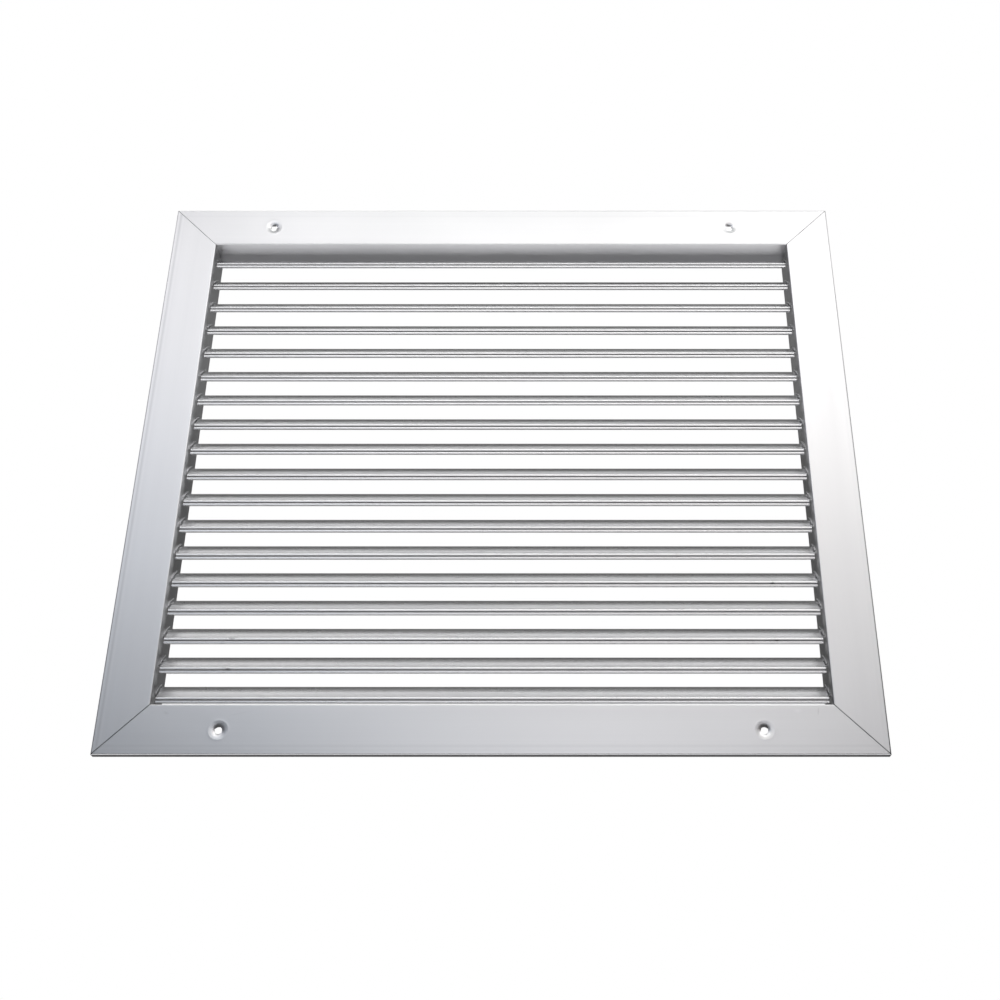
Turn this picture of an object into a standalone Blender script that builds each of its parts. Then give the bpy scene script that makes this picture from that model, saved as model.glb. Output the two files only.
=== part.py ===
"""Return air grille: a mitred frame of extruded aluminium with fixed blades at 45 degrees.

The grille hangs upright on a wall. X runs to the right of someone facing it, Z is up, and the
face looks along -Y. The wall's surface is the plane Y = 0, and the origin lies on it, at the
middle of the opening. The flange stands in front of the wall and the neck reaches into it.
"""

import math

import bmesh
import bpy
from mathutils import Matrix, Vector

mm = 0.001

# The frame, seen from the front
frame_width = 470.0 * mm
frame_height = 406.0 * mm
flange_width = 31.0 * mm
mitre_gap = 0.3 * mm

# The frame's section, a single extrusion
flange_depth = 4.4 * mm
skin = 1.2 * mm
return_wall = 1.2 * mm
outer_edge_radius = 0.7 * mm
inner_edge_radius = 0.8 * mm
neck_length = 19.6 * mm
neck_wall = 1.3 * mm
neck_root_radius = 0.8 * mm

# The channel on the flange's back, which holds the corner keys
channel_inset = 15.0 * mm
channel_width = 11.4 * mm
channel_height = 2.0 * mm
hook_wall = 1.2 * mm
hook_reach = 2.2 * mm
hook_thickness = 0.9 * mm

# The corner keys, flat L shaped plates that slide into the channels
key_clearance = 0.3 * mm
key_leg = 52.0 * mm
key_chamfer = 2.0 * mm
key_hole_diameter = 3.2 * mm
key_hole_setback = 9.0 * mm

# The fixing holes in the top and bottom rails, each in a pressed dimple
screw_hole_diameter = 4.5 * mm
top_screws_from_side = 71.1 * mm
bottom_screws_from_side = 73.3 * mm
dimple_diameter = 10.5 * mm
dimple_depth = 0.9 * mm
dimple_rim_radius = 14.0 * mm
dimple_rim_width = 2.4 * mm
dimple_rim_rise = 0.05 * mm
dimple_wall = 0.9 * mm
round_steps = 32

# The blades and where they stand; their number follows from the opening's height
nominal_blade_pitch = 19.1 * mm
clearance_over_blades = 1.9 * mm
clearance_under_blades = 2.4 * mm
blade_setback = 4.75 * mm
blade_end_gap = 1.3 * mm
blade_angle = math.radians(45.0)

# The blade's section: a nose with a groove along its front, and a curved web that rises behind it
nose_depth = 1.8 * mm
bead_height = 2.0 * mm
bead_radius = 1.2 * mm
lip_height = 1.45 * mm
lip_radius = 0.4 * mm
groove_height = 0.9 * mm
groove_depth = 1.1 * mm
groove_edge_radius = 0.35 * mm
crease_setback = 1.4 * mm
crease_drop = 0.2 * mm
web_length = 14.6 * mm
web_sweep = math.radians(18.0)
web_steps = 5
web_thickness = 1.2 * mm
web_end_radius = 0.3 * mm

# The tongues at the blade's ends, the slots that take them, and the lance above each slot
tongue_start = 2.5 * mm
tongue_width = 10.0 * mm
tongue_thickness = 1.0 * mm
tongue_past_wall = 0.5 * mm
slot_clearance = 0.3 * mm
slot_foot_length = 1.4 * mm
lance_start = 1.8 * mm
lance_length = 12.6 * mm
lance_lift = 1.1 * mm
lance_thickness = 0.5 * mm
lance_reach = 0.8 * mm
tool_bite = 0.3 * mm

# Values that follow from those above
opening_width = frame_width - 2 * flange_width
opening_height = frame_height - 2 * flange_width
face_y = -flange_depth
section_depth = flange_depth + neck_length
groove_half = groove_height / 2
bead_top = groove_half + bead_height
lip_bottom = -groove_half - lip_height
crease = Vector((crease_setback, bead_top - crease_drop))
crease_slope = blade_angle + web_sweep / 2
web_end_slope = blade_angle - web_sweep / 2
web_radius = web_length / web_sweep
web_top = crease.y + web_radius * (math.cos(web_end_slope) - math.cos(crease_slope))
first_blade_z = opening_height / 2 - clearance_over_blades - web_top
last_blade_z = clearance_under_blades - lip_bottom - opening_height / 2
blade_steps = round((first_blade_z - last_blade_z) / nominal_blade_pitch)
blade_pitch = (first_blade_z - last_blade_z) / blade_steps


def clear_scene():
    for obj in list(bpy.data.objects):
        bpy.data.objects.remove(obj, do_unlink=True)


def new_collection(name):
    collection = bpy.data.collections.new(name)
    bpy.context.scene.collection.children.link(collection)
    return collection


def new_material(name, colour, roughness, metallic):
    material = bpy.data.materials.new(name)
    material.use_nodes = True
    shader = material.node_tree.nodes["Principled BSDF"]
    shader.inputs["Base Color"].default_value = (*colour, 1.0)
    shader.inputs["Roughness"].default_value = roughness
    shader.inputs["Metallic"].default_value = metallic
    return material


def rounded_outline(corners, steps=5):
    """Turn corners (x, y, radius) into points, with an arc in place of each rounded corner."""
    points = []
    for index, (x, y, radius) in enumerate(corners):
        corner = Vector((x, y))
        if radius == 0:
            points.append(corner)
            continue
        before = Vector(corners[index - 1][:2]) - corner
        after = Vector(corners[(index + 1) % len(corners)][:2]) - corner
        before.normalize()
        after.normalize()
        half_angle = before.angle(after) / 2
        start = corner + before * (radius / math.tan(half_angle))
        centre = corner + (before + after).normalized() * (radius / math.sin(half_angle))
        sweep = math.pi - 2 * half_angle
        if before.x * after.y - before.y * after.x > 0:
            sweep = -sweep
        for step in range(steps + 1):
            turn = Matrix.Rotation(sweep * step / steps, 2)
            points.append(centre + turn @ (start - centre))
    return points


def circle_outline(centre, radius, steps=24):
    angles = [2 * math.pi * step / steps for step in range(steps)]
    return [centre + Vector((math.cos(a), math.sin(a))) * radius for a in angles]


def extruded_mesh(name, outlines, length):
    """Extrude flat closed outlines by a length along Z; an outline inside another is a hole."""
    curve = bpy.data.curves.new(name, "CURVE")
    curve.dimensions = "2D"
    curve.fill_mode = "BOTH"
    curve.extrude = length / 2
    for outline in outlines:
        spline = curve.splines.new("POLY")
        spline.points.add(len(outline) - 1)
        spline.use_cyclic_u = True
        for point, place in zip(spline.points, outline):
            point.co = (place.x, place.y, 0, 1)
    source = bpy.data.objects.new(name, curve)
    bpy.context.scene.collection.objects.link(source)
    mesh = evaluated_mesh(source, name)
    bpy.data.objects.remove(source, do_unlink=True)
    bpy.data.curves.remove(curve)

    shape = bmesh.new()
    shape.from_mesh(mesh)
    bmesh.ops.remove_doubles(shape, verts=shape.verts, dist=0.002 * mm)
    bmesh.ops.recalc_face_normals(shape, faces=shape.faces)
    shape.to_mesh(mesh)
    shape.free()
    return mesh


def evaluated_mesh(obj, name):
    depsgraph = bpy.context.evaluated_depsgraph_get()
    depsgraph.update()
    mesh = bpy.data.meshes.new_from_object(obj.evaluated_get(depsgraph))
    mesh.name = name
    return mesh


def add_piece(name, mesh, material):
    piece = bpy.data.objects.new(name, mesh)
    if not mesh.materials:
        mesh.materials.append(material)
    grille.objects.link(piece)
    return piece


def add_tool(name, mesh):
    """Add a body that only cuts or joins a piece."""
    tool = bpy.data.objects.new(name, mesh)
    tool.hide_render = True
    tool.display_type = "WIRE"
    tools.objects.link(tool)
    return tool


def boolean(piece, tool, operation):
    modifier = piece.modifiers.new(tool.name, "BOOLEAN")
    modifier.operation = operation
    modifier.solver = "EXACT"
    modifier.object = tool


def crosswise_mesh(name, outlines, low_x, high_x):
    """Extrude outlines of depth and height across the opening, between two places on X."""
    mesh = extruded_mesh(name, outlines, high_x - low_x)
    lying = Matrix.Rotation(math.radians(90), 4, "Y") @ Matrix.Rotation(math.radians(90), 4, "Z")
    mesh.transform(Matrix.Translation(((low_x + high_x) / 2, 0, 0)) @ lying)
    return mesh


def frame_section():
    """The rail's outline: X is the distance in from the outer edge, Y the depth behind the face."""
    near_wall = channel_inset - channel_width / 2
    far_wall = channel_inset + channel_width / 2
    hook_root = skin + channel_height
    hook_back = hook_root + hook_thickness
    neck_outside = flange_width - neck_wall
    return rounded_outline([
        (0, flange_depth, 0),
        (0, 0, outer_edge_radius),
        (flange_width, 0, inner_edge_radius),
        (flange_width, section_depth, 0),
        (neck_outside, section_depth, 0),
        (neck_outside, skin, neck_root_radius),
        (far_wall + hook_wall, skin, 0),
        (far_wall + hook_wall, hook_back, 0),
        (far_wall - hook_reach, hook_back, 0),
        (far_wall - hook_reach, hook_root, 0),
        (far_wall, hook_root, 0),
        (far_wall, skin, 0),
        (near_wall, skin, 0),
        (near_wall, hook_root, 0),
        (near_wall + hook_reach, hook_root, 0),
        (near_wall + hook_reach, hook_back, 0),
        (near_wall - hook_wall, hook_back, 0),
        (near_wall - hook_wall, skin, 0),
        (return_wall, skin, 0),
        (return_wall, flange_depth, 0),
    ])


def rail_mesh(name, length):
    """A rail along Z, its ends drawn back to the 45 degree mitres."""
    mesh = extruded_mesh(name, [frame_section()], length)
    half_gap_along_rail = mitre_gap / 2 * math.sqrt(2)
    for vertex in mesh.vertices:
        reach = length / 2 - vertex.co.x - half_gap_along_rail
        vertex.co.z = math.copysign(reach, vertex.co.z)
    return mesh


def turned_mesh(name, profile):
    """A body turned about Y from a profile of radius and depth that starts and ends on the axis."""
    mesh = bpy.data.meshes.new(name)
    points = [(point.x, point.y, 0) for point in profile]
    edges = [(index, index + 1) for index in range(len(points) - 1)]
    mesh.from_pydata(points, edges, [])
    source = add_tool(name, mesh)
    turning = source.modifiers.new("turning", "SCREW")
    turning.axis = "Y"
    turning.steps = round_steps
    turning.render_steps = round_steps
    turning.use_merge_vertices = True
    turning.merge_threshold = 0.01 * mm
    turned = evaluated_mesh(source, name)
    bpy.data.objects.remove(source, do_unlink=True)

    shape = bmesh.new()
    shape.from_mesh(turned)
    bmesh.ops.recalc_face_normals(shape, faces=shape.faces)
    shape.to_mesh(turned)
    shape.free()
    return turned


def dimple_boss():
    """The back of a dimple, a short cone that bulges out behind the skin, along Y."""
    slope = (dimple_diameter - screw_hole_diameter) / 2 / dimple_depth
    back = dimple_depth + dimple_wall
    back_radius = screw_hole_diameter / 2 + dimple_wall
    front = skin / 2
    front_radius = back_radius + slope * (back - front)
    placing = Matrix.Translation((0, (front + back) / 2, 0)) @ Matrix.Rotation(math.radians(-90), 4, "X")
    shape = bmesh.new()
    bmesh.ops.create_cone(
        shape, cap_ends=True, segments=round_steps, radius1=front_radius, radius2=back_radius,
        depth=back - front, matrix=placing)
    mesh = bpy.data.meshes.new("dimple_boss")
    shape.to_mesh(mesh)
    shape.free()
    return mesh


def dimple_cut():
    """The front of a dimple and the screw hole, turned about Y, with a soft rim on the face."""
    hole_radius = screw_hole_diameter / 2
    rim_radius = dimple_diameter / 2
    past_back = dimple_depth + dimple_wall + skin
    front = -dimple_rim_rise - skin
    outline = rounded_outline([
        (0, front, 0),
        (rim_radius + dimple_rim_width, front, 0),
        (rim_radius + dimple_rim_width, -dimple_rim_rise, 0),
        (rim_radius, 0, dimple_rim_radius),
        (hole_radius, dimple_depth, 0),
        (hole_radius, past_back, 0),
        (0, past_back, 0),
    ])
    return turned_mesh("dimple_cut", outline)


def add_screw_dimple(rail, name, along):
    """Press a dimple into the flange's skin at a place along the rail, with a hole through it."""
    for kind, mesh, operation in (
            ("boss", dimple_boss(), "UNION"),
            ("cut", dimple_cut(), "DIFFERENCE")):
        tool = add_tool(f"{name}_{kind}", mesh)
        tool.parent = rail
        tool.location = (channel_inset, 0, along)
        boolean(rail, tool, operation)


def add_rail(name, length, place, turn):
    """A rail with its outer edge through a place, turned about Y so that it faces inwards."""
    rail = add_piece(name, rail_mesh(name, length), rail_aluminium)
    rail.location = (place[0], face_y, place[1])
    rail.rotation_euler = (0, math.radians(turn), 0)
    return rail


def blade_places():
    return [first_blade_z - step * blade_pitch for step in range(blade_steps + 1)]


def web_point(along, lift=0):
    """A point in the blade's section: a distance up the web and a height off its upper side."""
    slope = crease_slope - along / web_radius
    run = web_radius * (math.sin(crease_slope) - math.sin(slope))
    rise = web_radius * (math.cos(slope) - math.cos(crease_slope))
    off_the_web = Vector((-math.sin(slope), math.cos(slope)))
    return crease + Vector((run, rise)) + off_the_web * lift


def web_line(start, length, lift=0):
    """Points along the curved web, at one height off its upper side."""
    return [web_point(start + length * step / web_steps, lift) for step in range(web_steps + 1)]


def web_strip(start, length, lift, thickness):
    """The outline of a strip that follows the curved web."""
    lower_side = web_line(start, length, lift)
    upper_side = web_line(start, length, lift + thickness)
    return lower_side + upper_side[::-1]


def strips_at_blades(start, length, lift, thickness):
    """The outlines of such a strip at each of the blades."""
    strip = web_strip(start, length, lift, thickness)
    places = [Vector((face_y + blade_setback, z)) for z in blade_places()]
    return [[place + point for point in strip] for place in places]


def slot_tool():
    """Bars that pass through both side rails' necks and leave the slots for the tongues."""
    reach = opening_width / 2 + neck_wall + tool_bite
    start = tongue_start - slot_foot_length - slot_clearance
    length = slot_foot_length + tongue_width + 2 * slot_clearance
    side_play = (web_thickness - tongue_thickness) / 2
    thickness = tongue_thickness + 2 * slot_clearance
    lift = -side_play - tongue_thickness - slot_clearance
    strips = strips_at_blades(start, length, lift, thickness)
    return add_tool("slots", crosswise_mesh("slots", strips, -reach, reach))


def lance_tool(side):
    """The strips of neck wall that are lanced inwards above the slots of one side rail."""
    wall = side * opening_width / 2
    ends = sorted((wall + side * tool_bite, wall - side * lance_reach))
    strips = strips_at_blades(lance_start, lance_length, lance_lift, lance_thickness)
    name = "left_lances" if side < 0 else "right_lances"
    return add_tool(name, crosswise_mesh(name, strips, *ends))


def blade_section():
    """The blade's outline: X is the depth behind the nose's front, Y the height over the groove."""
    *upper_side, top_end = [(point.x, point.y) for point in web_line(0, web_length)]
    *under_side, bottom_end = [(point.x, point.y) for point in web_line(0, web_length, -web_thickness)]
    under_x, under_y = under_side[0]
    nose_back_y = under_y + (nose_depth - under_x) * math.tan(crease_slope)
    return rounded_outline([
        (groove_depth, groove_half, 0),
        (0, groove_half, groove_edge_radius),
        (0, bead_top, bead_radius),
        (crease.x - crease_drop / 2, bead_top, crease_drop / 2),
        *((*point, 0) for point in upper_side),
        (*top_end, web_end_radius),
        (*bottom_end, web_end_radius),
        *((*point, 0) for point in under_side[::-1]),
        (nose_depth, nose_back_y, 0),
        (nose_depth, lip_bottom, lip_radius),
        (0, lip_bottom, lip_radius),
        (0, -groove_half, groove_edge_radius),
        (groove_depth, -groove_half, 0),
    ])


def blade_mesh():
    """A blade along X with its nose's front at the origin, and a tongue out of each end."""
    body_end = opening_width / 2 - blade_end_gap
    mesh = crosswise_mesh("blade", [blade_section()], -body_end, body_end)
    body = add_piece("blade_body", mesh, blade_aluminium)

    tongue_end = opening_width / 2 + neck_wall + tongue_past_wall
    tongue_lift = -(web_thickness + tongue_thickness) / 2
    strip = web_strip(tongue_start, tongue_width, tongue_lift, tongue_thickness)
    tongue = add_tool("tongue", crosswise_mesh("tongue", [strip], -tongue_end, tongue_end))
    boolean(body, tongue, "UNION")
    finished = evaluated_mesh(body, "blade")
    bpy.data.objects.remove(body, do_unlink=True)
    return finished


def key_mesh():
    """A corner key in the X-Y plane, measured from the frame's outer corner, legs along X and Y."""
    near = channel_inset - channel_width / 2 + key_clearance
    far = channel_inset + channel_width / 2 - key_clearance
    outline = [
        (near, near, 0),
        (key_leg - key_chamfer, near, 0),
        (key_leg, near + key_chamfer, 0),
        (key_leg, far - key_chamfer, 0),
        (key_leg - key_chamfer, far, 0),
        (far, far, 0),
        (far, key_leg - key_chamfer, 0),
        (far - key_chamfer, key_leg, 0),
        (near + key_chamfer, key_leg, 0),
        (near, key_leg - key_chamfer, 0),
    ]
    hole_along = key_leg - key_hole_setback
    holes = [
        circle_outline(Vector((hole_along, channel_inset)), key_hole_diameter / 2),
        circle_outline(Vector((channel_inset, hole_along)), key_hole_diameter / 2),
    ]
    thickness = channel_height - 2 * key_clearance
    mesh = extruded_mesh("corner_key", [rounded_outline(outline)] + holes, thickness)
    mesh.transform(Matrix.Rotation(math.radians(90), 4, "X"))
    return mesh


clear_scene()
grille = new_collection("return_air_grille")
tools = new_collection("cutting_tools")
rail_aluminium = new_material("rail_aluminium", (0.80, 0.80, 0.82), 0.34, 1.0)
blade_aluminium = new_material("blade_aluminium", (0.78, 0.78, 0.79), 0.30, 1.0)
key_steel = new_material("key_steel", (0.55, 0.56, 0.57), 0.45, 1.0)

# The four rails: the left and right ones carry the blades, the others the fixing screws
half_width = frame_width / 2
half_height = frame_height / 2
left_rail = add_rail("left_rail", frame_height, (-half_width, 0), 0)
right_rail = add_rail("right_rail", frame_height, (half_width, 0), 180)
top_rail = add_rail("top_rail", frame_width, (0, half_height), 90)
bottom_rail = add_rail("bottom_rail", frame_width, (0, -half_height), -90)

slots = slot_tool()
for rail, side in ((left_rail, -1), (right_rail, 1)):
    boolean(rail, lance_tool(side), "UNION")
    boolean(rail, slots, "DIFFERENCE")

for rail, from_side in ((top_rail, top_screws_from_side), (bottom_rail, bottom_screws_from_side)):
    add_screw_dimple(rail, f"{rail.name}_first_screw", from_side - half_width)
    add_screw_dimple(rail, f"{rail.name}_second_screw", half_width - from_side)

# The four corner keys, behind the skin in the rails' channels
key = key_mesh()
key_middle_y = face_y + skin + channel_height / 2
key_corners = (
    ("corner_key_bottom_left", -1, -1, 0),
    ("corner_key_top_left", -1, 1, 90),
    ("corner_key_top_right", 1, 1, 180),
    ("corner_key_bottom_right", 1, -1, 270),
)
for name, side, level, turn in key_corners:
    corner_key = add_piece(name, key, key_steel)
    corner_key.location = (side * half_width, key_middle_y, level * half_height)
    corner_key.rotation_euler = (0, math.radians(turn), 0)

# The blades, numbered from the top
blade = blade_mesh()
for number, z in enumerate(blade_places(), start=1):
    fixed_blade = add_piece(f"blade_{number:02d}", blade, blade_aluminium)
    fixed_blade.location = (0, face_y + blade_setback, z)
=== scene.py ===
import math

import bpy
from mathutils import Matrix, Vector


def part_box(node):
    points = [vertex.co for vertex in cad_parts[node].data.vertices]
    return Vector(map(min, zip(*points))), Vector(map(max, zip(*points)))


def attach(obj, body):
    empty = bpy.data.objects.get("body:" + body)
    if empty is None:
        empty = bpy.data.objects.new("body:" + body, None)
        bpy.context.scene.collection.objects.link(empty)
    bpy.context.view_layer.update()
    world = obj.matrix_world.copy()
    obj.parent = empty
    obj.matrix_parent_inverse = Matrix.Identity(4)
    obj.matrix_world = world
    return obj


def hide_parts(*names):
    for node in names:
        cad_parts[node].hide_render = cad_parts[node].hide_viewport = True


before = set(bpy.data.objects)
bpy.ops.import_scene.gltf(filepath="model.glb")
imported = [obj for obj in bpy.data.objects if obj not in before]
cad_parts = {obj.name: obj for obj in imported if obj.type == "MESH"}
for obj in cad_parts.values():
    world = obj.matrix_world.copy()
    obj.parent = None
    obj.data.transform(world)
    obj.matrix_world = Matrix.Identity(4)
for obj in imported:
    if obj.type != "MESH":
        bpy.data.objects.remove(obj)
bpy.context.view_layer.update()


# The four rails are one aluminium extrusion, cut at 45 degrees for the mitres and finished in satin
# natural anodising. The side rails are punched for the blades, and the top and bottom rails have
# two dimpled screw holes each. Die lines run along them, and handling has left a few small marks.
# Painted shade darkens the outer edges and the insides of the side rails' necks, and painted
# highlights lie beside the die lines and on the lanced strips.

mm = 0.001
join_within = 0.01 * mm
sharp_above = math.radians(35)


def finished_copy(node, metal):
    """A copy of a CAD node in its metal, its triangles joined and its round edges shaded smooth."""
    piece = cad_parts[node].copy()
    piece.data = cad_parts[node].data.copy()
    piece.name = node + "_surface"
    bpy.context.scene.collection.objects.link(piece)
    bpy.ops.object.select_all(action="DESELECT")
    piece.select_set(True)
    bpy.context.view_layer.objects.active = piece
    bpy.ops.object.mode_set(mode="EDIT")
    bpy.ops.mesh.select_all(action="SELECT")
    bpy.ops.mesh.remove_doubles(threshold=join_within)
    bpy.ops.mesh.tris_convert_to_quads(face_threshold=0.02, shape_threshold=0.8)
    bpy.ops.mesh.faces_shade_smooth()
    bpy.ops.mesh.select_mode(type="EDGE")
    bpy.ops.mesh.select_all(action="DESELECT")
    bpy.ops.mesh.edges_select_sharp(sharpness=sharp_above)
    bpy.ops.mesh.mark_sharp()
    bpy.ops.object.mode_set(mode="OBJECT")
    weighting = piece.modifiers.new("flat faces stay flat", "WEIGHTED_NORMAL")
    weighting.keep_sharp = True
    weighting.weight = 100
    bpy.ops.object.modifier_apply(modifier=weighting.name)
    piece.data.materials.clear()
    piece.data.materials.append(metal)
    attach(piece, "root")
    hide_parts(node)


class Shade:
    """A socket of a material. Arithmetic on it adds Math nodes, and node() adds any other."""

    def __init__(self, tree, socket=None):
        self.tree = tree
        self.socket = socket

    def node(self, kind, settings, inputs, output=0):
        made = self.tree.nodes.new(kind)
        for setting, value in settings.items():
            setattr(made, setting, value)
        for name, value in inputs.items():
            if isinstance(value, Shade):
                self.tree.links.new(value.socket, made.inputs[name])
            else:
                made.inputs[name].default_value = value
        return Shade(self.tree, made.outputs[output])

    def beside(self, output):
        """Another output of the same node."""
        return Shade(self.tree, self.socket.node.outputs[output])

    def maths(self, operation, *values):
        return self.node("ShaderNodeMath", {"operation": operation}, dict(enumerate(values)))

    def __add__(self, other):
        return self.maths("ADD", self, other)

    def __sub__(self, other):
        return self.maths("SUBTRACT", self, other)

    def __rsub__(self, other):
        return self.maths("SUBTRACT", other, self)

    def __mul__(self, other):
        return self.maths("MULTIPLY", self, other)

    def __truediv__(self, other):
        return self.maths("DIVIDE", self, other)

    def __abs__(self):
        return self.maths("ABSOLUTE", self)

    __radd__ = __add__
    __rmul__ = __mul__

    def above_zero(self):
        return self.maths("MAXIMUM", self, 0)

    def exponential(self):
        return self.maths("EXPONENT", self)

    def wrapped(self, half_range):
        """The same number, brought to within half a range of nought by whole ranges."""
        return self.maths("WRAP", self, half_range, -half_range)

    def rising(self, start, width):
        """0 up to a start, and 1 from a width beyond it."""
        return self.node("ShaderNodeClamp", {}, {"Value": (self - start) / width})

    def mixed(self, low, high):
        """A colour between two, with this socket as the share of the second."""
        colours = {0: self, 6: (*low, 1), 7: (*high, 1)}
        return self.node("ShaderNodeMix", {"data_type": "RGBA"}, colours, 2)

    def noise(self, scale, detail):
        """Smooth noise about 0.5, with this socket as the place."""
        inputs = {"Vector": self, "Scale": scale, "Detail": detail}
        return self.node("ShaderNodeTexNoise", {}, inputs)

    def swing(self, depth):
        """Noise about 0.5 turned to noise about nought, with a depth of its own."""
        return (self - 0.5) * depth

    def stretched(self, factors):
        return self.node("ShaderNodeMapping", {}, {"Vector": self, "Scale": factors})

    def feed(self, shader, name):
        self.tree.links.new(self.socket, shader.inputs[name])


def new_metal(name, colour, roughness):
    """A metal of one colour, with its shader and the place on the piece."""
    material = bpy.data.materials.new(name)
    material.use_nodes = True
    shader = material.node_tree.nodes["Principled BSDF"]
    shader.inputs["Base Color"].default_value = (*colour, 1)
    shader.inputs["Roughness"].default_value = roughness
    shader.inputs["Metallic"].default_value = 1
    place = Shade(material.node_tree).node("ShaderNodeTexCoord", {}, {}, "Object")
    return material, shader, place


grain_scale = 900
band_scale = 140
cloud_scale = 9
drawn_out = 0.004
grain_relief = 0.3
relief_height = 0.05 * mm


def extruded_metal(name, colour, roughness, along):
    """Anodised aluminium with the fine grain and slow waves that a die leaves along a length."""
    material, shader, place = new_metal(name, colour, roughness)
    stretch = [1, 1, 1]
    stretch[along] = drawn_out
    drawn = place.stretched(stretch)
    grain = drawn.noise(grain_scale, 2)
    bands = drawn.noise(band_scale, 1)
    clouds = place.noise(cloud_scale, 2)
    return material, shader, place, grain, bands, clouds


def mark(place, at, size, turn):
    """A soft oval of 1 in its middle and 0 outside, placed in millimetres, turned in degrees."""
    oval_depth = 8
    lying = {
        "Vector": place,
        "Location": (at[0] * mm, at[1] * mm, at[2] * mm),
        "Rotation": (0, math.radians(turn), 0),
        "Scale": (size[0] * mm, oval_depth * mm, size[1] * mm),
    }
    inside = place.node("ShaderNodeMapping", {"vector_type": "TEXTURE"}, lying)
    reach = inside.node("ShaderNodeVectorMath", {"operation": "LENGTH"}, {0: inside}, "Value")
    return (1 - reach).above_zero()


def stripe(distance, width):
    """1 where a distance is nought, falling to 0 at a width to either side."""
    return (1 - abs(distance) / width).above_zero()


rail_colour = (0.88, 0.88, 0.885)
rail_dark = (0.12, 0.12, 0.125)
rail_roughness = 0.30
half_width = 235 * mm
half_height = 203 * mm
face_depth = -4.4 * mm
line_width = 1.1 * mm
# Painted highlights run either side of each die line, as on a crest.
highlight_width = 0.9 * mm
highlight_crests = ((-1.5 * mm, 0.6), (1.8 * mm, 0.4))
# Painted shade along the outer edge: its width, and its lean towards the lower right.
edge_shade_width = 1.1 * mm
edge_shade_lean = (3, -2)
mitre_dirt_width = 0.75 * mm
mitre_dirt_lean = 3
neck_start = 30.5 * mm
neck_blend = 0.4 * mm
# Painted shade inside the side rails' necks: its growth towards their ends and its lean to the
# bottom.
neck_shade_growth = 28
neck_shade_lean = 60
brushed_depth = 8 * mm
brushed_roughness = 0.35
# The lanced strips get a painted highlight and are rougher.
strip_start = 31.1 * mm
strip_blend = 0.3 * mm
strip_brightness = 0.09
strip_roughness = 0.25
clean_rail_tone = 0.09
rail_tone_strength = 0.6
dish_edge_radius = 2.7 * mm
dish_edge_width = 2.2 * mm
dish_edge_height = 0.34 * mm


def rail_metal(name, along, line_inset, line_strength, edge_shade_strength, marks, screws):
    """The metal of one rail, which runs along X (0) or Z (2), with wear, dirt and painted light and
    shade of its own.
    """
    material, shader, place, grain, bands, clouds = extruded_metal(
        name, rail_colour, rail_roughness, along)
    x = place.node("ShaderNodeSeparateXYZ", {}, {0: place}, "X")
    depth, z = x.beside("Y"), x.beside("Z")
    inset = half_height - abs(z) if along == 0 else half_width - abs(x)

    line = stripe(inset - line_inset, line_width) * line_strength
    # Painted highlights beside the die line, as on a crest, which make the rail lighter there.
    painted_crest_highlight = sum(stripe(inset - line_inset - offset, highlight_width) * line_strength * share
                for offset, share in highlight_crests)
    # Painted shade along each outer edge, stronger towards the lower right.
    toward_lower_right = (x * edge_shade_lean[0] + z * edge_shade_lean[1] + 1).above_zero()
    edge = stripe(inset + depth - face_depth, edge_shade_width)
    painted_edge_shade = edge * toward_lower_right * edge_shade_strength
    from_mitre = abs(x) - abs(z) - (half_width - half_height)
    mitre_dirt = stripe(from_mitre, mitre_dirt_width) * (1 - z * mitre_dirt_lean)

    # Painted shade inside the side rails' necks, darker towards their ends and most at the bottom,
    # and a painted highlight on the lanced strips.
    punched = 1 if along == 2 else 0
    neck = inset.rising(neck_start, neck_blend) * punched
    strip = inset.rising(strip_start, strip_blend) * punched
    toward_ends = z * z * (neck_shade_growth - z * neck_shade_lean)
    painted_neck_shade_and_light = neck * toward_ends * (1 - strip) - strip * strip_brightness

    worn = sum((mark(place, *oval) * strength for oval, strength in marks), line)
    uneven = grain.swing(0.05) + bands.swing(0.07) + clouds.swing(0.04)
    # Dark mitre joints, with painted shade on the outer edges and inside the necks.
    painted_shade_and_dirt = painted_edge_shade + mitre_dirt + painted_neck_shade_and_light
    tone = (clean_rail_tone + uneven + worn + painted_shade_and_dirt - painted_crest_highlight) * rail_tone_strength
    tone.above_zero().mixed(rail_colour, rail_dark).feed(shader, "Base Color")
    brushed = neck * stripe(depth - face_depth, brushed_depth) * brushed_roughness
    uneven_shine = clouds.swing(0.06) + bands.swing(0.05)
    roughness = rail_roughness + uneven_shine + worn * 0.15 + brushed + strip * strip_roughness
    roughness.feed(shader, "Roughness")

    scratched = grain * grain_relief + bands - worn * 2
    relief = {"Strength": 0.05, "Distance": relief_height, "Height": scratched}
    lean = place.node("ShaderNodeBump", {}, relief)
    for screw in screws:
        ends = {0: place, 1: screw}
        out = place.node("ShaderNodeVectorMath", {"operation": "DISTANCE"}, ends, "Value")
        off_edge = (out - dish_edge_radius) / dish_edge_width
        dish_edge = (off_edge * off_edge * -1).exponential()
        ridge = {"Distance": dish_edge_height, "Height": dish_edge, "Normal": lean}
        lean = place.node("ShaderNodeBump", {}, ridge)
    lean.feed(shader, "Normal")
    return material


# Each mark has its middle, its half sizes, its turn and its strength.
bottom_marks = (
    (((-193.7, -4.4, -177.5), (2.2, 1.2), 20), 0.18),
    (((194.4, -4.4, -176.5), (0.7, 3.2), 8), 0.22),
    (((-150.0, -4.4, -177.8), (9.0, 0.8), -12), 0.06),
    (((182.2, -4.4, -176.1), (3.0, 1.6), 0), -0.10),
)
top_screws = [(side * 163.9 * mm, -4.2 * mm, 188 * mm) for side in (-1, 1)]
bottom_screws = [(side * 161.7 * mm, -4.2 * mm, -188 * mm) for side in (-1, 1)]
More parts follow.
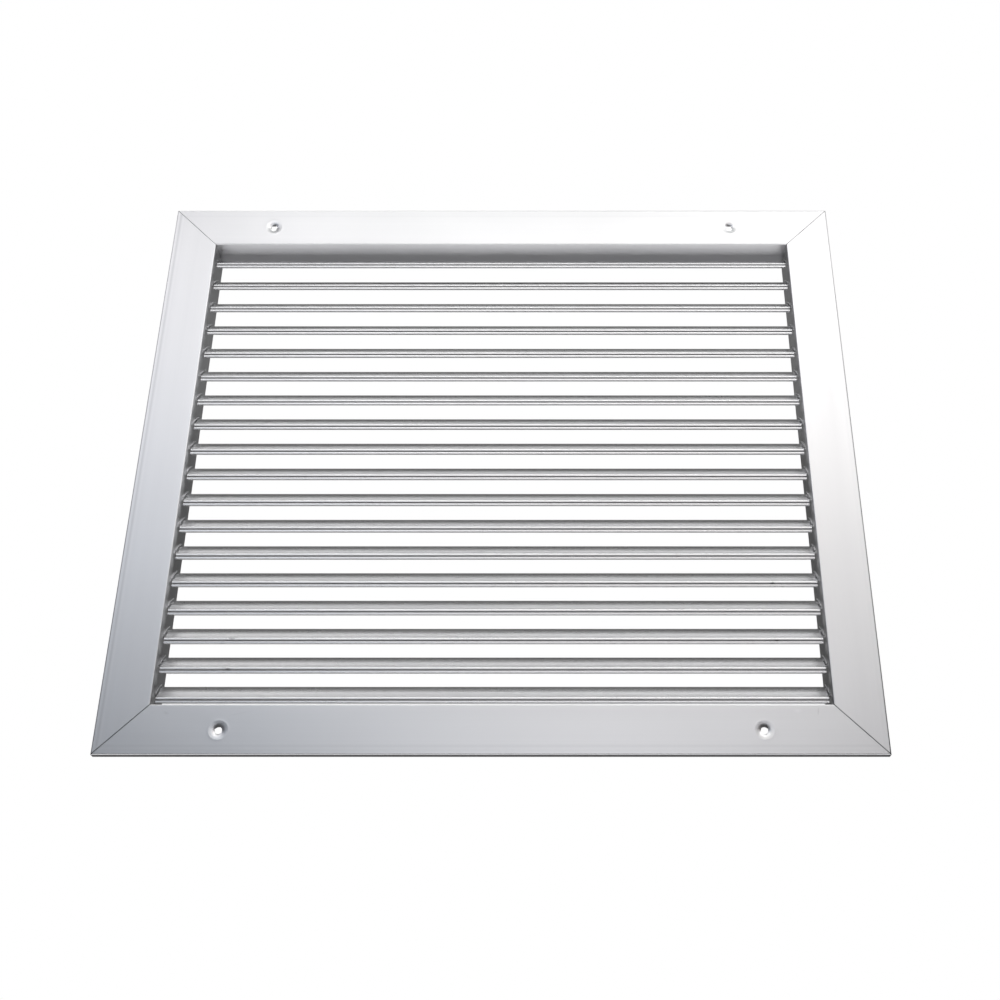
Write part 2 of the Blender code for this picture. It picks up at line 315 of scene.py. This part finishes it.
# Each rail has its axis, its die line's inset and strength, the strength of its painted edge
# shade, its marks and its screws.
rails = (
    ("left_rail", 2, 2.9 * mm, 0.18, 1.00, (), ()),
    ("right_rail", 2, 2.9 * mm, 0.03, 1.20, (), ()),
    ("top_rail", 0, 5.3 * mm, 0.03, 0.90, (), top_screws),
    ("bottom_rail", 0, 5.3 * mm, 0.06, 0.10, bottom_marks, bottom_screws),
)
for node, *wear in rails:
    finished_copy(node, rail_metal(node + "_aluminium", *wear))


# The eighteen blades are a second extrusion of the same metal, with a grooved nose. Each is fixed
# by a tongue at either end, squeezed into the side rails' slots. The grooves are darkened by
# painted shade with a little dirt, and have a few nicks.

blade_colour = (0.84, 0.84, 0.845)
blade_dark = (0.16, 0.16, 0.165)
blade_roughness = 0.27
groove_width = 0.9 * mm
groove_depth = 1.1 * mm
groove_above_lip = 1.9 * mm
nicks = (
    ((-161.2, 0.4, -128.1), (2.6, 0.9), 0),
    ((-161.4, 0.4, -147.8), (2.4, 1.0), 0),
    ((174.5, 0.4, -90.5), (1.6, 0.7), 0),
    ((174.3, 0.4, -129.3), (1.8, 0.8), 0),
)
blades = sorted(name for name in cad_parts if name.startswith("blade_"))
first_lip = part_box("blade_01")[0][2]
last_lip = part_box("blade_18")[0][2]
blade_pitch = (first_lip - last_lip) / (len(blades) - 1)

blade_metal, shader, place, grain, bands, clouds = extruded_metal(
    "blade_aluminium", blade_colour, blade_roughness, 0)
nicked = sum(mark(place, *nick) for nick in nicks)
depth = place.node("ShaderNodeSeparateXYZ", {}, {0: place}, "Y")
# Painted shade in each nose groove, with a little dirt.
above_first_groove = depth.beside("Z") - (first_lip + groove_above_lip)
from_groove = above_first_groove.wrapped(blade_pitch / 2)
painted_shade_and_dirt = stripe(from_groove, groove_width) * stripe(depth - groove_depth, groove_width)
tone = grain.swing(0.04) + bands.swing(0.04) + clouds.swing(0.03) + nicked * 0.6 + painted_shade_and_dirt
tone.above_zero().mixed(blade_colour, blade_dark).feed(shader, "Base Color")
roughness = blade_roughness + clouds.swing(0.06) + bands.swing(0.06) + nicked * 0.2 + painted_shade_and_dirt * 0.2
roughness.feed(shader, "Roughness")
scratched = grain * grain_relief + bands - nicked * 4
relief = {"Strength": 0.03, "Distance": relief_height, "Height": scratched}
place.node("ShaderNodeBump", {}, relief).feed(shader, "Normal")
for node in blades:
    finished_copy(node, blade_metal)


# The corner keys are flat L shaped plates stamped from sheet steel and zinc plated. They slide into
# the rails' channels and hold the mitres, out of sight from the front.

zinc = (0.56, 0.57, 0.585)
dull_zinc = (0.40, 0.41, 0.43)
smoothest_zinc = 0.34
spangle_scale = 260
mottle_scale = 70
key_metal, shader, place = new_metal("zinc_plated_steel", zinc, smoothest_zinc)
spangling = {"Vector": place, "Scale": spangle_scale}
spangle = place.node("ShaderNodeTexVoronoi", {}, spangling, "Distance")
mottle = place.noise(mottle_scale, 3)
(spangle * 0.35 + mottle * 0.5).mixed(zinc, dull_zinc).feed(shader, "Base Color")
(smoothest_zinc + mottle * 0.18).feed(shader, "Roughness")
relief = {"Strength": 0.15, "Distance": relief_height, "Height": mottle}
place.node("ShaderNodeBump", {}, relief).feed(shader, "Normal")
for node in sorted(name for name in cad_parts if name.startswith("corner_key_")):
    finished_copy(node, key_metal)


# The studio: a pale floor under the hanging grille, in a white surround, lit by one wide softbox in
# front and above. Curved cards and light panels stand far off all round, as they do for polished
# metal: they show in mirrors only and light nothing.

studio_reach = 20.0


def toward(azimuth, elevation):
    """The way out from the grille; azimuth 0 is straight in front and turns to the right."""
    a = math.radians(azimuth)
    e = math.radians(elevation)
    return Vector((math.sin(a) * math.cos(e), -math.cos(a) * math.cos(e), math.sin(e)))


def card(name, azimuths, elevations, shade):
    """A card or panel of one shade, bent round the grille over some azimuths and elevations."""
    bpy.ops.object.select_all(action="DESELECT")
    bpy.ops.mesh.primitive_grid_add(x_subdivisions=16, y_subdivisions=4, size=1)
    piece = bpy.context.active_object
    piece.name = name
    for vertex in piece.data.vertices:
        azimuth = azimuths[0] + (azimuths[1] - azimuths[0]) * (vertex.co.x + 0.5)
        elevation = elevations[0] + (elevations[1] - elevations[0]) * (vertex.co.y + 0.5)
        vertex.co = toward(azimuth, elevation) * studio_reach
    paint = bpy.data.materials.new(name)
    paint.use_nodes = True
    paint.node_tree.nodes.clear()
    glow = Shade(paint.node_tree).node("ShaderNodeEmission", {}, {"Color": (*shade, 1)})
    glow.feed(paint.node_tree.nodes.new("ShaderNodeOutputMaterial"), "Surface")
    piece.data.materials.append(paint)
    piece.visible_camera = False
    piece.visible_diffuse = False
    piece.visible_shadow = False


# Each card has its azimuths and elevations in degrees, and its light.
cards = (
    ("black_card_low", (-25, 25), (-30, 8), (0.02, 0.02, 0.02)),
    ("dark_card_low_left", (-60, -25), (-30, 8), (0.10, 0.10, 0.11)),
    ("dark_card_low_right", (25, 60), (-30, 8), (0.10, 0.10, 0.10)),
    ("low_card_far_left", (-60, -25), (8, 20), (0.06, 0.06, 0.07)),
    ("low_card_left", (-25, -8), (8, 20), (0.25, 0.28, 0.32)),
    ("low_card_middle", (-8, 15), (8, 20), (1.06, 1.08, 1.14)),
    ("low_card_right", (15, 60), (8, 20), (0.08, 0.06, 0.05)),
    ("grey_card_front_left", (-60, -25), (20, 30), (0.06, 0.08, 0.12)),
    ("pale_card_left", (-25, -5), (20, 30), (0.86, 0.91, 0.99)),
    ("pale_card_middle", (-5, 15), (20, 30), (0.62, 0.57, 0.53)),
    ("light_panel_far_left", (-60, -25), (30, 42), (1.15, 1.15, 1.22)),
    ("light_panel_left", (-25, -18), (30, 42), (0.95, 0.93, 0.97)),
    ("light_panel_right", (-18, 60), (30, 42), (2.02, 2.00, 2.00)),
    ("black_card_upper_left", (-60, -20), (42, 60), (0.02, 0.02, 0.02)),
    ("grey_card_upper_middle", (-20, 20), (42, 60), (0.14, 0.17, 0.16)),
    ("light_panel_overhead", (-60, 60), (60, 80), (2.10, 2.10, 2.10)),
    ("dark_card_left", (-120, -60), (-30, 60), (0.16, 0.16, 0.17)),
    ("grey_card_right", (60, 120), (-30, 30), (0.37, 0.40, 0.44)),
    ("black_card_low_behind", (120, 240), (-30, -5), (0.07, 0.07, 0.07)),
    ("light_panel_behind", (120, 240), (-5, 8), (1.55, 1.55, 1.57)),
    ("black_card_behind", (120, 240), (14, 30), (0.05, 0.05, 0.05)),
    ("dark_card_behind", (120, 240), (30, 42), (0.18, 0.18, 0.18)),
    ("grey_card_behind", (120, 240), (42, 52), (0.29, 0.29, 0.29)),
    ("black_card_high_behind", (120, 240), (52, 62), (0.03, 0.03, 0.03)),
    ("grey_card_high_behind", (120, 240), (62, 72), (0.38, 0.38, 0.38)),
    ("dark_card_top_behind", (120, 240), (72, 80), (0.05, 0.05, 0.05)),
    ("grey_card_under_behind", (90, 270), (-52, -30), (0.22, 0.22, 0.23)),
    ("black_card_under_behind", (90, 270), (-88, -52), (0.05, 0.05, 0.05)),
    ("light_panel_under_front", (-90, 90), (-88, -30), (1.25, 1.25, 1.27)),
)
for name, azimuths, elevations, shade in cards:
    card(name, azimuths, elevations, shade)

softbox_way = toward(17, 40)
softbox_distance = 3.0
softbox_width = 4.4
softbox_height = 1.1
softbox_radiance = 0.45
bpy.ops.object.light_add(type="AREA")
softbox = bpy.context.active_object
softbox.name = "key_softbox"
softbox.data.shape = "RECTANGLE"
softbox.data.size = softbox_width
softbox.data.size_y = softbox_height
softbox.data.energy = softbox_radiance * math.pi * softbox_width * softbox_height
softbox.location = softbox_way * softbox_distance
softbox.rotation_euler = softbox_way.to_track_quat("Z", "Y").to_euler()
softbox.visible_glossy = False

floor_size = 2.4
floor_height = -0.62
floor_colour = (0.86, 0.86, 0.86)
floor_roughness = 0.9
bpy.ops.object.select_all(action="DESELECT")
bpy.ops.mesh.primitive_plane_add(size=floor_size, location=(0, 0, floor_height))
floor = bpy.context.active_object
floor.name = "floor"
floor_paint = bpy.data.materials.new("floor")
floor_paint.use_nodes = True
floor_shader = floor_paint.node_tree.nodes["Principled BSDF"]
floor_shader.inputs["Base Color"].default_value = (*floor_colour, 1)
floor_shader.inputs["Roughness"].default_value = floor_roughness
floor.data.materials.append(floor_paint)
floor.visible_glossy = False

surround_white = (1, 1, 1, 1)
room_grey = (0.6, 0.6, 0.6, 1)
world = bpy.data.worlds.new("studio")
bpy.context.scene.world = world
world.use_nodes = True
world.node_tree.nodes.clear()
sky = Shade(world.node_tree)
seen = sky.node("ShaderNodeLightPath", {}, {}, "Is Camera Ray")
mirrored = seen.beside("Is Glossy Ray")
through = seen.beside("Is Transmission Ray")
white = sky.node("ShaderNodeBackground", {}, {"Color": surround_white})
room = sky.node("ShaderNodeBackground", {}, {"Color": room_grey})
blend = sky.node("ShaderNodeMixShader", {}, {0: seen + mirrored + through, 1: room, 2: white})
blend.feed(world.node_tree.nodes.new("ShaderNodeOutputWorld"), "Surface")


# The camera stands in front, below the middle, and looks up by the angle of the photograph. Its
# sideways shift keeps the grille where the photograph has it.

camera_place = (0.03335, -0.7736, -0.43825)
camera_tilt = math.radians(117.70)
bpy.ops.object.camera_add(location=camera_place, rotation=(camera_tilt, 0, 0))
camera = bpy.context.active_object
camera.data.sensor_width = 36
camera.data.lens = 48.55
camera.data.shift_x = -0.0478
camera.data.clip_start = 0.01
bpy.context.scene.camera = camera
bpy.context.scene.view_settings.view_transform = "Standard"
